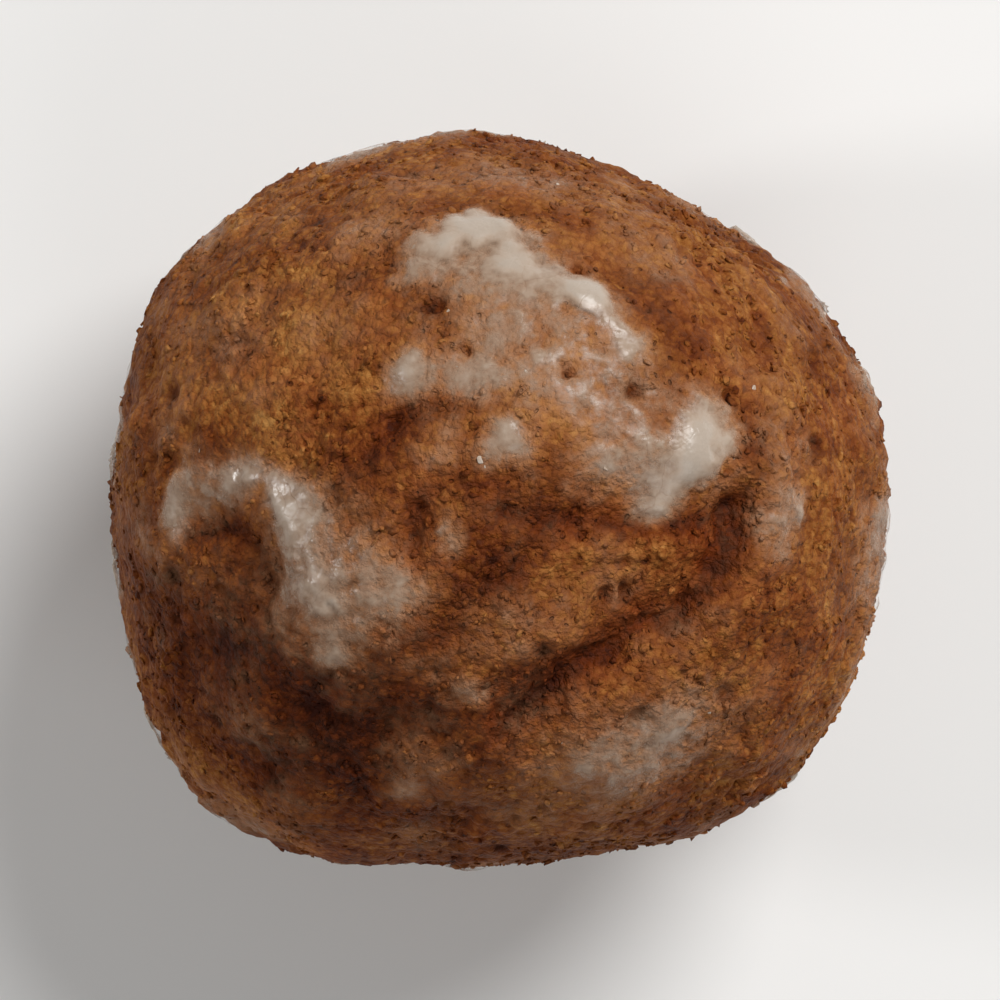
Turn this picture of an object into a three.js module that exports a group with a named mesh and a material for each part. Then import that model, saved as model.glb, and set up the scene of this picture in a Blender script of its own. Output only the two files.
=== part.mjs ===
// A glazed cake doughnut hole: one ball of fried dough, about 38 mm across, in millimetres, +Z up.
// It rests on a small flat spot at z = 0, and +Y is the far side of the ball when it is seen from above.
// The crust is one closed skin round a middle point. Its distance from there is an uneven ellipsoid,
// with broad swells, dents and plates, split seams, creases, lumps, nubs and pits added to it.
import * as THREE from "three";
import { mergeVertices } from "three/addons/utils/BufferGeometryUtils.js";

// Driving dimensions of the ball
const width = 38.0; // along X
const depth = 36.0; // along Y
const height = 35.0; // along Z, measured on the floor
const footRadius = 5.6; // of the flat spot that the ball rests on
const skinDetail = 20; // how often each edge of the starting icosahedron is split

const meanRadius = (width + depth + height) / 6;
const footSagitta = footRadius ** 2 / (2 * meanRadius);
const halfAxes = new THREE.Vector3(width, depth, height + footSagitta).divideScalar(2);

// Broad uneven places that give the ball its outline. heading is measured from +X towards +Y and
// rise above the horizon, both in degrees, and so is spread. bulge is in mm, and negative is a flat.
const swells = [
  { heading: 227, rise: 2, spread: 24, bulge: 2.6 },
  { heading: 150, rise: 6, spread: 28, bulge: 0.9 },
  { heading: 320, rise: -2, spread: 26, bulge: 1.6 },
  { heading: 24, rise: 0, spread: 20, bulge: 0.6 },
  { heading: 60, rise: 8, spread: 26, bulge: -1.4 },
  { heading: 272, rise: -14, spread: 18, bulge: -0.7 },
  { heading: 100, rise: -32, spread: 24, bulge: 0.8 },
  { heading: 20, rise: -38, spread: 22, bulge: 0.6 },
  { heading: 190, rise: -42, spread: 20, bulge: -0.7 },
];

// Dents and raised plates on the top, placed as seen from above: x and y in mm from the middle
const plates = [
  { x: 4.0, y: 6.6, reach: 7.0, bulge: 0.75 },
  { x: 5.6, y: -3.8, reach: 4.6, bulge: -1.05 },
  { x: -12.2, y: -3.6, reach: 3.4, bulge: -0.6 },
  { x: -8.4, y: -5.0, reach: 4.2, bulge: 0.5 },
  { x: 6.5, y: -12.4, reach: 4.4, bulge: 0.6 },
  { x: -5.4, y: 3.2, reach: 2.6, bulge: -0.45 },
  { x: -3.2, y: 12.6, reach: 3.6, bulge: 0.35 },
  { x: 13.6, y: -7.4, reach: 3.4, bulge: 0.4 },
];

// Seams where the crust split while it fried. Each runs through a few points given as x and y in mm,
// on the top or, with under set, on the underside.
const splits = [
  { halfWidth: 1.0, cut: 1.1, points: [[11.6, -0.2], [10.8, -3.2], [9.0, -6.0], [4.6, -8.2], [1.8, -10.6]] },
  { halfWidth: 1.0, cut: 0.7, points: [[4.6, -0.4], [8.0, 0.2], [11.6, -0.2]] },
  { halfWidth: 0.9, cut: 0.5, points: [[-4.0, 0.2], [-4.3, -2.4]] },
  { halfWidth: 1.1, cut: 0.7, points: [[-14.8, -0.8], [-12.8, -1.9], [-11.4, -4.2]] },
  { halfWidth: 1.0, cut: 0.6, points: [[-9.6, -10.0], [-6.4, -11.6], [-3.6, -11.0]] },
  { halfWidth: 1.1, cut: 1.0, under: true, points: [[-14.5, 5.0], [-10.0, 8.8], [-4.0, 11.6], [2.6, 12.4]] },
  { halfWidth: 1.1, cut: 0.9, under: true, points: [[7.4, -6.6], [12.0, -5.2], [15.2, 0.2], [14.0, 5.4]] },
  { halfWidth: 1.0, cut: 0.8, under: true, points: [[-13.6, -6.4], [-9.4, -11.0], [-4.2, -14.2]] },
];

// Lumps, nubs and pits scattered evenly over the whole crust, each kind by a rule with a fixed seed
const lumpKinds = [
  { count: 40, spread: 13, low: -0.34, high: 0.36, seed: 11 },
  { count: 190, spread: 5.6, low: -0.28, high: 0.32, seed: 23 },
  { count: 34, spread: 3.6, low: 0.3, high: 0.65, seed: 43 },
  { count: 54, spread: 3.4, low: -0.62, high: -0.28, seed: 51 },
];

// Creases between the small plates that the crust dried into. They deepen and fade over the ball.
const creases = { plateCount: 210, halfWidth: 0.95, cut: 0.42, fadeCount: 18, fadeSpread: 22, seed: 71 };

const degree = Math.PI / 180;

// A whole-number generator that gives the same draws everywhere
function seededDraw(seed) {
  let state = seed * 7919 + 1;
  return () => {
    state = (state * 48271) % 2147483647;
    return state / 2147483647;
  };
}

function directionOf(heading, rise) {
  return new THREE.Vector3(
    Math.cos(rise * degree) * Math.cos(heading * degree),
    Math.cos(rise * degree) * Math.sin(heading * degree),
    Math.sin(rise * degree),
  );
}

// The direction of the point of the ball that lies over, or under, x and y
function directionAt(x, y, under = false) {
  const z = Math.sqrt(Math.max(meanRadius ** 2 - x * x - y * y, 0));
  return new THREE.Vector3(x, y, under ? -z : z).normalize();
}

// How far apart two directions are on the ball's skin, in mm
function skinGap(a, b) {
  return meanRadius * Math.acos(THREE.MathUtils.clamp(a.dot(b), -1, 1));
}

function hump(distance, reach) {
  return Math.exp(-((distance / reach) ** 2));
}

// Places spread evenly on a sphere by the golden angle, each pushed aside a little
function scatterLumps({ count, spread, low, high, seed }) {
  const draw = seededDraw(seed);
  const goldenAngle = Math.PI * (3 - Math.sqrt(5));
  const looseness = 1.1 / Math.sqrt(count);
  return Array.from({ length: count }, (_, i) => {
    const z = 1 - (2 * i + 1) / count;
    const across = Math.sqrt(1 - z * z);
    const turn = i * goldenAngle + seed;
    const direction = new THREE.Vector3(across * Math.cos(turn), across * Math.sin(turn), z);
    direction.x += looseness * (draw() - 0.5) * 2;
    direction.y += looseness * (draw() - 0.5) * 2;
    direction.z += looseness * (draw() - 0.5) * 2;
    return {
      direction: direction.normalize(),
      reach: spread * degree * meanRadius * (0.75 + 0.5 * draw()),
      bulge: low + (high - low) * draw(),
    };
  });
}

const plateMiddles = scatterLumps({
  count: creases.plateCount,
  spread: 1,
  low: 0,
  high: 0,
  seed: creases.seed,
});
const creaseFades = scatterLumps({
  count: creases.fadeCount,
  spread: creases.fadeSpread,
  low: -0.2,
  high: 1,
  seed: creases.seed + 1,
});

// A crease runs where the two nearest plates are equally far away
function creaseRelief(direction) {
  let nearest = Infinity;
  let second = Infinity;
  for (const plate of plateMiddles) {
    const gap = skinGap(direction, plate.direction);
    if (gap < nearest) {
      second = nearest;
      nearest = gap;
    } else if (gap < second) {
      second = gap;
    }
  }
  const deepening = creaseFades.reduce(
    (sum, f) => sum + f.bulge * hump(skinGap(direction, f.direction), f.reach),
    0,
  );
  return -creases.cut * THREE.MathUtils.clamp(deepening, 0, 1) * hump(second - nearest, creases.halfWidth);
}

// Every swell, plate and lump as one list of round humps
const humps = [
  ...swells.map((s) => ({
    direction: directionOf(s.heading, s.rise),
    reach: s.spread * degree * meanRadius,
    bulge: s.bulge,
  })),
  ...plates.map((p) => ({ direction: directionAt(p.x, p.y), reach: p.reach, bulge: p.bulge })),
  ...lumpKinds.flatMap(scatterLumps),
];

const seams = splits.map((s) => ({
  ...s,
  stations: s.points.map(([x, y]) => directionAt(x, y, s.under)),
}));

// The gap between a direction and the nearest place on a seam, in mm
function seamGap(direction, stations) {
  const nearest = new THREE.Vector3();
  let gap = Infinity;
  for (let i = 0; i + 1 < stations.length; i += 1) {
    new THREE.Line3(stations[i], stations[i + 1]).closestPointToPoint(direction, true, nearest);
    gap = Math.min(gap, skinGap(direction, nearest.normalize()));
  }
  return gap;
}

// A seam is a groove between two soft raised lips
function seamRelief(direction, seam) {
  const gap = seamGap(direction, seam.stations);
  const lip = hump(gap - 2.3 * seam.halfWidth, seam.halfWidth * 1.2);
  return seam.cut * (0.28 * lip - hump(gap, seam.halfWidth));
}

// The distance from the ball's middle to its crust in one direction
function crustRadius(direction) {
  const ellipsoid = 1 / direction.clone().divide(halfAxes).length();
  const relief = humps.reduce((sum, h) => sum + h.bulge * hump(skinGap(direction, h.direction), h.reach), 0);
  const grooves = seams.reduce((sum, seam) => sum + seamRelief(direction, seam), 0);
  return ellipsoid + relief + grooves + creaseRelief(direction);
}

// The whole crust: an icosahedron split finely, pushed out to the crust and pressed flat on the floor
function ballOfDough() {
  const sphere = new THREE.IcosahedronGeometry(1, skinDetail);
  sphere.deleteAttribute("normal");
  sphere.deleteAttribute("uv");
  const skin = mergeVertices(sphere, 1e-5);
  const place = skin.getAttribute("position");
  const point = new THREE.Vector3();
  for (let i = 0; i < place.count; i += 1) {
    point.fromBufferAttribute(place, i).normalize();
    point.multiplyScalar(crustRadius(point));
    place.setXYZ(i, point.x, point.y, point.z);
  }
  skin.computeBoundingBox();
  const size = skin.boundingBox.getSize(new THREE.Vector3());
  const middle = skin.boundingBox.getCenter(new THREE.Vector3());
  skin.translate(-middle.x, -middle.y, -skin.boundingBox.max.z);
  skin.scale(width / size.x, depth / size.y, (height + footSagitta) / size.z);
  skin.translate(0, 0, height);
  for (let i = 0; i < place.count; i += 1) {
    place.setZ(i, Math.max(place.getZ(i), 0));
  }
  skin.computeVertexNormals();
  return skin;
}

const crustMaterial = new THREE.MeshStandardMaterial({ color: 0x9a6233, roughness: 0.75, metalness: 0 });

const doughnutHole = new THREE.Mesh(ballOfDough(), crustMaterial);
doughnutHole.name = "doughnut_hole";

const part = new THREE.Group();
part.add(doughnutHole);

export default part;
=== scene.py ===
import math
from functools import partial

import bpy
import numpy as np
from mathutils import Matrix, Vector, noise
from mathutils.bvhtree import BVHTree


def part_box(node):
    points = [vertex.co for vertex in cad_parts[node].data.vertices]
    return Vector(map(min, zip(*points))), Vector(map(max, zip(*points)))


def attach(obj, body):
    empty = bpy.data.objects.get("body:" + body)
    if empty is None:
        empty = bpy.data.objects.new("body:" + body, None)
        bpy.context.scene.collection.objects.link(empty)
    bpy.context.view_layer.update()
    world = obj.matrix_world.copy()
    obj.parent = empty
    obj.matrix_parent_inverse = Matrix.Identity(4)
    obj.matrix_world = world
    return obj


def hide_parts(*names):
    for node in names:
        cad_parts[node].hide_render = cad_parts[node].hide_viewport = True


# A glazed cake doughnut hole: a ball of fried dough, its broken film of sugar glaze, and the crumbs on it
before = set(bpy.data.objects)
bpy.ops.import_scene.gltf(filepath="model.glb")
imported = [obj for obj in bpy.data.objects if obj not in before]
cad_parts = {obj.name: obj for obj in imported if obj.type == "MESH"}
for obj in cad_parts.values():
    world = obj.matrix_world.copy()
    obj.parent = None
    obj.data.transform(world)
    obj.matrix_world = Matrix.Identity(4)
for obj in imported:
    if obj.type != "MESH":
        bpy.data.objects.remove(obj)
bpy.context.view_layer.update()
noise.seed_set(27)  # noise_vector, which shiftAt reads, would otherwise differ from run to run
mm = 0.001
doughNode = "doughnut_hole"
lowCorner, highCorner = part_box(doughNode)
ballMiddle = (lowCorner + highCorner) / 2
ballRadius = sum(highCorner - lowCorner) / 6
print(f"frame: ball {(highCorner - lowCorner) / mm} mm")


# Tools that every piece uses

def linearColour(hexColour):  # sRGB "#rrggbb" to the linear values that a shader socket holds
    parts = [int(hexColour[i:i + 2], 16) / 255 for i in (1, 3, 5)]
    return [p / 12.92 if p <= 0.04045 else ((p + 0.055) / 1.055) ** 2.4 for p in parts] + [1.0]


def feedNode(node, links):  # gives each input, by name or number, a value or the output that feeds it
    for name, value in links.items():
        if isinstance(value, bpy.types.NodeSocket):
            node.id_data.links.new(value, node.inputs[name])
        else:
            node.inputs[name].default_value = value


nodeRow, nodeWidth, nodeHeight = 12, 220, 260  # how the nodes are laid out in the editor


def addNode(tree, kind, settings=None, links=None, give=0):  # returns the new node's output "give"
    node = tree.nodes.new(kind)
    row, column = divmod(len(tree.nodes), nodeRow)
    node.location = (nodeWidth * column, -nodeHeight * row)
    for name, value in (settings or {}).items():
        if name == "stops":
            while len(node.color_ramp.elements) < len(value):
                node.color_ramp.elements.new(0.5)
            for element, (position, hexColour) in zip(node.color_ramp.elements, value):
                element.position, element.color = position, linearColour(hexColour)
        else:
            setattr(node, name, value)
    feedNode(node, links or {})
    return node.outputs[give] if len(node.outputs) else None


# Kinds of node, and settings that many of them share
mathNode, vectorNode, rangeNode = "ShaderNodeMath", "ShaderNodeVectorMath", "ShaderNodeMapRange"
noiseNode, cellNode = "ShaderNodeTexNoise", "ShaderNodeTexVoronoi"
rampNode, attributeNode = "ShaderNodeValToRGB", "ShaderNodeAttribute"
plus, minus, times = {"operation": "ADD"}, {"operation": "SUBTRACT"}, {"operation": "MULTIPLY"}
over, larger, timesPlus = {"operation": "DIVIDE"}, {"operation": "MAXIMUM"}, {"operation": "MULTIPLY_ADD"}
scaled, eased = {"operation": "SCALE"}, {"interpolation_type": "SMOOTHSTEP"}


def smoothStep(low, high, values):
    t = np.clip((values - low) / (high - low), 0, 1)
    return t * t * (3 - 2 * t)


# The skin that dough and glaze share: a cube's faces cut into squares and blown up to a ball

def cubeSkin(cells):
    steps = np.tan(np.linspace(-math.pi / 4, math.pi / 4, cells + 1))
    across, along = np.meshgrid(steps, steps, indexing="ij")
    number = np.arange((cells + 1) ** 2).reshape(cells + 1, cells + 1)
    corners = [number[:-1, :-1], number[1:, :-1], number[1:, 1:], number[:-1, 1:]]
    square = np.stack(corners, -1).reshape(-1, 4)
    points, squares = [], []
    for axis in range(3):
        for side in (-1, 1):
            face = np.empty((cells + 1, cells + 1, 3))
            face[..., axis] = side
            face[..., (axis + 1) % 3] = across * side
            face[..., (axis + 2) % 3] = along
            squares.append(square + len(points) * (cells + 1) ** 2)
            points.append(face.reshape(-1, 3))
    points = np.concatenate(points)
    points /= np.linalg.norm(points, axis=1, keepdims=True)
    keys = np.rint(points * 1e5).astype(np.int64)
    _, first, weld = np.unique(keys, axis=0, return_index=True, return_inverse=True)
    return points[first], weld.reshape(-1)[np.concatenate(squares)]


def skinEdges(squares):
    pairs = np.concatenate([squares[:, [i, (i + 1) % 4]] for i in range(4)])
    return np.unique(np.sort(pairs, axis=1), axis=0)


def relaxed(values, edges, rounds):  # each point moves half way to the mean of its neighbours
    count = np.bincount(edges.ravel(), minlength=len(values))
    for _ in range(rounds):
        total = np.bincount(edges[:, 0], values[edges[:, 1]], len(values))
        total += np.bincount(edges[:, 1], values[edges[:, 0]], len(values))
        values = 0.5 * values + 0.5 * total / count
    return values


def cadReach(directions):  # how far the CAD ball's crust is from the middle in each direction
    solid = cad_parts[doughNode].data
    crust = BVHTree.FromPolygons([v.co for v in solid.vertices], [p.vertices[:] for p in solid.polygons])
    reach = []
    for d in directions:  # a ray that slips between two triangles is cast again, a little to one side
        hit = crust.ray_cast(ballMiddle, Vector(d))[3] or crust.ray_cast(ballMiddle, Vector(d + 1e-4))[3]
        reach.append(hit)
    return np.array(reach)


# In the next two functions, shift picks another piece of the noise, so that no two patterns are alike
def noiseAt(points, size, octaves=3, shift=0.0):  # about -1 to 1, with lumps of this size
    return np.array([noise.fractal(Vector(p / size + shift), 0.9, 2.0, octaves) for p in points])


def shiftAt(points, size, shift=0.0):  # a vector of about -1 to 1 at each point
    return np.array([noise.noise_vector(Vector(p / size + shift)) for p in points])


def seenFromAbove(x, y, under=False):  # the direction of the crust over, or under, x and y in mm
    level = math.sqrt(max((ballRadius / mm) ** 2 - x * x - y * y, 0.0))
    return np.array(Vector((x, y, -level if under else level)).normalized())


def patchDistance(directions, patch):
    # How far each direction lies from a patch's middle, as a share of the patch's half length and width
    middle = patch["toward"]
    up = np.array([0.0, 0.0, 1.0]) if abs(middle[2]) < 0.999 else np.array([0.0, 1.0, 0.0])
    turn = math.radians(patch["turn"])
    lengthwise = np.array([math.cos(turn), math.sin(turn), 0.0])
    if patch.get("side"):
        east = np.cross(up, middle)
        east /= np.linalg.norm(east)
        lengthwise = math.cos(turn) * east + math.sin(turn) * np.cross(middle, east)
    lengthwise = lengthwise - middle * (lengthwise @ middle)
    lengthwise /= np.linalg.norm(lengthwise)
    crosswise = np.cross(middle, lengthwise)
    cosine = np.clip(directions @ middle, -1, 1)
    far = np.arccos(cosine)
    spread = np.where(far > 1e-6, far / np.maximum(np.sin(far), 1e-6), 1.0) * ballRadius / mm
    a, b = (directions @ lengthwise) * spread, (directions @ crosswise) * spread
    ratio = np.sqrt((a / patch["half"][0]) ** 2 + (b / patch["half"][1]) ** 2)
    return np.where(cosine > 0, ratio, 99.0)  # the ball's far side is out of its reach


# Where the glaze stayed on, as in the photo. Each patch is x and y in mm from the middle, as seen from
# above, half its length and width in mm, its length's heading in degrees, and how much crust it hides.
glazeCover = {
    "patches": [
        (-3.0, 11.8, 2.8, 1.6, 50, 0.95), (-0.9, 13.2, 2.2, 1.7, 0, 1.00),
        (0.4, 12.0, 2.8, 2.0, -45, 0.88), (-0.6, 11.8, 4.6, 3.4, 0, 0.65),
        (2.4, 11.0, 2.4, 1.8, -40, 0.66), (1.2, 9.8, 4.4, 3.2, -40, 0.68),
        (4.6, 9.6, 2.4, 1.7, -50, 1.05), (6.2, 7.8, 2.6, 1.5, -50, 0.74),
        (-4.3, 6.6, 2.4, 1.4, 50, 0.68), (-1.6, 6.2, 3.8, 2.1, 0, 0.65),
        (9.9, 3.0, 2.3, 2.4, 0, 1.08), (8.4, 0.9, 2.6, 1.6, 26, 0.78),
        (5.8, 2.2, 3.8, 2.4, 12, 0.60), (8.0, 1.8, 2.9, 1.9, 20, 0.72),
        (1.6, 7.6, 6.4, 4.8, -24, 0.59), (5.8, 4.2, 5.0, 3.6, -42, 0.57),
        (0.3, 2.9, 1.8, 1.9, 0, 0.70), (-3.1, 2.0, 2.0, 1.2, 0, 0.48),
        (-2.6, -1.8, 1.0, 1.7, 0, 0.50), (-15.3, 0.2, 2.6, 1.5, 50, 0.82),
        (-14.3, 0.7, 2.8, 1.7, 20, 0.68), (-13.0, 1.0, 3.2, 1.6, 4, 0.80),
        (-10.6, 0.2, 2.8, 1.8, -20, 0.75), (-9.6, -1.6, 3.2, 2.8, -28, 0.71),
        (-8.4, -4.4, 5.6, 4.8, 0, 0.60), (-8.6, -4.3, 4.0, 3.2, 0, 0.64),
        (-5.6, -4.4, 3.0, 2.2, 0, 0.64), (-8.0, -7.6, 2.0, 1.8, 0, 0.60),
        (-1.8, -9.3, 1.6, 1.4, 0, 0.50), (-4.2, -12.4, 2.4, 4.0, 0, 0.31),
        (-4.2, -14.2, 1.8, 1.6, 0, 0.44), (6.8, -12.2, 6.8, 4.6, 16, 0.60),
        (6.8, -12.0, 3.6, 2.0, 35, 0.64), (4.2, -13.0, 1.8, 1.1, 30, 0.60),
        (13.7, -0.6, 2.1, 3.2, 0, 0.56), (13.6, 3.2, 2.6, 2.6, 0, 0.42),
        (17.4, -6.3, 1.2, 1.8, 0, 0.50), (0.4, 16.2, 10.0, 3.0, 0, 0.40),
        (7.2, 12.6, 3.6, 3.0, -40, 0.40), (-6.2, 13.0, 3.6, 3.0, 40, 0.40),
        (-3.4, 9.0, 3.2, 2.0, 20, 0.32), (-12.6, 8.2, 4.0, 3.8, 0, 0.33),
        (-8.6, 8.6, 3.6, 3.4, 0, 0.28), (1.6, -6.6, 6.0, 3.4, 20, 0.30),
        (-12.4, -13.2, 0.8, 0.8, 0, 0.50),
    ],
    "patchFade": (1.5, 0.1),  # where a patch starts and where it is whole, as shares of its half size
    "sideCount": 14,  # further patches on the sides and underside, which the photo doesn't show
    "sideSeed": 8,
    "sideLevels": (0.18, -0.92),  # the heights that they lie between, as shares of the ball's radius
    "sideSizes": (1.4, 4.6),
    "sideLengths": (1.0, 1.7),  # half their length and width, as shares of their size
    "sideWidths": (0.5, 0.9),
    "sideTurns": (20, 160),
    "sideStray": 0.3,  # how far each strays round the ball, in radians
    "sideFilms": (0.35, 1.0),
    "wash": 0.13,  # the thin dried film all over
    "washSize": 4.4 * mm,
    "washSwing": 2.2,
    "edgeWander": 0.8 * mm,
    "wanderSizes": (3.6 * mm, 1.3 * mm),
    "fineWander": 0.6,
    "joinPower": 5,  # a high power lets the thickest patch win, with a soft join to the next
    "poolSize": 2.4 * mm,
    "poolSwing": 0.28,
    "mostFilm": 1.15,
}

# Round the sides, which the photo doesn't show, the glaze stayed on as a broad thin veil with bare, sandy
# places in it, and it dried thicker along the edges of some of them.
sideVeil = {
    "bareSize": 10.0 * mm,
    "film": 0.54,
    "edgeFilm": 1.0,
    "thickSize": 6.0 * mm,  # the size of the places where its edges dried thick and crisp
    "thickReach": (-0.05, 0.3),  # how much of the noise's range they take
    "crispEdge": (0.0, 0.07),  # how much of the noise's range such an edge takes
    "softEdge": (-0.1, 0.25),  # and how much the other edges take
    "edgeMiddle": 0.09,
    "edgeWidth": 0.06,
    "level": (0.30, 0.02),  # where it starts and where it is whole, as shares of the ball's radius
    "ragged": 0.7,  # how much lower it starts in places
    "raggedSize": 7.0 * mm,
    "shift": 66.87,  # picks a piece of the noise that leaves the ball's left rim bare, as in the photo
}


def veilFilm(points, directions):
    cloud = noiseAt(points, sideVeil["bareSize"], 3, sideVeil["shift"])
    thick = smoothStep(*sideVeil["thickReach"], noiseAt(points, sideVeil["thickSize"], 2, 14.0))
    crisp = smoothStep(*sideVeil["crispEdge"], cloud)
    soft = smoothStep(*sideVeil["softEdge"], cloud)
    veil = sideVeil["film"] * (thick * crisp + (1 - thick) * soft)
    band = np.exp(-(((cloud - sideVeil["edgeMiddle"]) / sideVeil["edgeWidth"]) ** 2))
    edge = (sideVeil["edgeFilm"] - sideVeil["film"]) * thick * band
    lower = sideVeil["ragged"] * np.maximum(noiseAt(points, sideVeil["raggedSize"], 2, 21.0), 0)
    return (veil + edge) * smoothStep(*sideVeil["level"], directions[:, 2] + lower)


def sidePatches():
    draws = np.random.default_rng(glazeCover["sideSeed"])
    golden = math.pi * (3 - math.sqrt(5))  # spreads them evenly round the ball
    top, bottom = glazeCover["sideLevels"]
    found = []
    for i in range(glazeCover["sideCount"]):
        level = top - (top - bottom) * (i + 0.5) / glazeCover["sideCount"]
        turn = i * golden + draws.uniform(-glazeCover["sideStray"], glazeCover["sideStray"])
        across = math.sqrt(1 - level * level)
        size = draws.uniform(*glazeCover["sideSizes"])
        found.append({
            "toward": np.array([across * math.cos(turn), across * math.sin(turn), level]),
            "half": (size * draws.uniform(*glazeCover["sideLengths"]),
                     size * draws.uniform(*glazeCover["sideWidths"])),
            "turn": draws.uniform(*glazeCover["sideTurns"]),
            "film": draws.uniform(*glazeCover["sideFilms"]),
            "side": True,
        })
    return found


def glazeFilm(directions):
    points = directions * ballRadius
    broad, fine = glazeCover["wanderSizes"]
    wander = shiftAt(points, broad) + glazeCover["fineWander"] * shiftAt(points, fine, 7.0)
    moved = points + glazeCover["edgeWander"] * wander
    moved /= np.linalg.norm(moved, axis=1, keepdims=True)
    stacked, power = np.zeros(len(directions)), glazeCover["joinPower"]
    patches = [
        {"toward": seenFromAbove(x, y), "half": (length, width), "turn": turn, "film": film}
        for x, y, length, width, turn, film in glazeCover["patches"]
    ]
    for patch in patches + sidePatches():
        film = patch["film"] * smoothStep(*glazeCover["patchFade"], patchDistance(moved, patch))
        stacked += film ** power
    film = np.maximum(stacked ** (1 / power), veilFilm(moved * ballRadius, directions))
    film = film * (1 + glazeCover["poolSwing"] * noiseAt(points, glazeCover["poolSize"], 4, 3.0))
    wash = 1 + glazeCover["washSwing"] * noiseAt(points, glazeCover["washSize"], 3, 5.0)
    wash *= glazeCover["wash"]
    return np.clip(np.maximum(film, wash), 0, glazeCover["mostFilm"])


# How brown the crust fried, with painted shade in some places. Each place is x, y and reach in mm, seen
# from above, and how much browner or darker it is there. The places low on the left also paint the shade on
# that side of the ball.
crustBrowningAndShade = {
    "even": 0.45,
    "places": [
        (13.0, 7.0, 7.5, 0.05), (13.5, -3.0, 6.0, 0.03), (10.0, 12.0, 5.0, -0.12),
        # Below, the last place on the first line and the first two on the second darken the lower left:
        # partly darker red-brown crust, partly painted shade
        (7.0, -3.2, 4.0, -0.06), (-12.5, 7.0, 6.5, -0.07), (-12.5, -6.5, 6.0, 0.26),
        (-16.0, -6.0, 4.0, 0.12), (-8.0, -12.5, 6.5, 0.30), (-5.0, 3.8, 2.6, 0.08),
        (-3.0, 3.4, 1.8, 0.12), (-3.1, 9.5, 1.5, 0.30), (-12.8, -2.3, 1.8, -0.04),
        (8.6, -0.2, 3.0, 0.02), (1.5, -7.4, 4.5, 0.06), (0.4, -2.6, 2.8, 0.18), (-6.5, 8.5, 4.5, -0.06),
        (1.6, -10.2, 2.4, 0.10), (15.0, 1.5, 4.0, -0.12), (5.0, -3.8, 3.6, -0.02),
        (-3.0, -8.0, 3.0, 0.16),
    ],
    "sideSwing": 0.22,  # on the sides, which the photo doesn't show
    "sideSwingSize": 11.0 * mm,
    "sideLevel": (0.5, -0.1),  # where that starts and where it is whole, as shares of the ball's radius
}


def browningAndShadeOf(directions):
    tone = np.full(len(directions), crustBrowningAndShade["even"])
    for x, y, reach, amount in crustBrowningAndShade["places"]:
        gap = ballRadius / mm * np.arccos(np.clip(directions @ seenFromAbove(x, y), -1, 1))
        tone += amount * np.exp(-((gap / reach) ** 2))
    swing = noiseAt(directions * ballRadius, crustBrowningAndShade["sideSwingSize"], 2, 2.0)
    side = smoothStep(*crustBrowningAndShade["sideLevel"], directions[:, 2])
    return tone + crustBrowningAndShade["sideSwing"] * swing * side


# Seams that split open in the fryer, as x and y in mm seen from above. The dough in them is red-brown, with
# painted shadow on the lower lip beside each step, and "step" is how many mm the dough on a line's left
# stands over that on its right.
crustSeams = {
    "lines": [
        {"depth": 1.0, "step": 0.35,
         "points": [(11.9, -0.4), (11.8, -2.0), (10.8, -4.4), (9.2, -6.2), (6.6, -7.4)]},
        {"depth": 1.0, "step": 0.28,
         "points": [(6.6, -7.4), (4.5, -8.4), (2.5, -9.8), (0.6, -11.2)]},
        {"depth": 0.65, "step": 0.22,
         "points": [(0.4, -0.4), (3.4, -1.1), (6.0, -0.9), (8.6, -0.9), (11.4, -0.8)]},
        {"depth": 0.6, "step": 0.1,
         "points": [(-3.7, 0.1), (-4.2, -1.0), (-4.2, -2.2)]},
        {"depth": 0.3, "step": 0.06,
         "points": [(-11.4, -3.6), (-12.6, -2.1), (-13.6, -1.6), (-15.0, -1.9)]},
        {"depth": 0.5, "step": 0.2,
         "points": [(-3.6, -11.0), (-6.4, -11.6), (-9.6, -10.0)]},
        {"depth": 0.5, "step": 0.2,
         "points": [(-1.6, 5.0), (-3.6, 4.4), (-5.6, 3.4), (-6.8, 1.6)]},
        {"depth": 0.8, "step": 0.4, "under": True,
         "points": [(-14.5, 5.0), (-10.0, 8.8), (-4.0, 11.6), (2.6, 12.4)]},
        {"depth": 0.8, "step": 0.3, "under": True,
         "points": [(7.4, -6.6), (12.0, -5.2), (15.2, 0.2), (14.0, 5.4)]},
        {"depth": 0.7, "step": 0.3, "under": True,
         "points": [(-13.6, -6.4), (-9.4, -11.0), (-4.2, -14.2)]},
    ],
    "halfWidth": 0.62 * mm,
    "wander": 0.55 * mm,
    "wanderSize": 1.4 * mm,
    "cut": 0.32 * mm,
    "lipWidth": 0.3 * mm,
    "lipReach": 2.0 * mm,
    "red": (0.8, 0.3),  # how red the dough is beside a seam, and how much redder and darker on its lower lip, as painted shadow of the step
    "blushReach": 1.4 * mm,
    "filmLoss": 0.3,  # the share of the glaze that is missing in a seam
}


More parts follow.
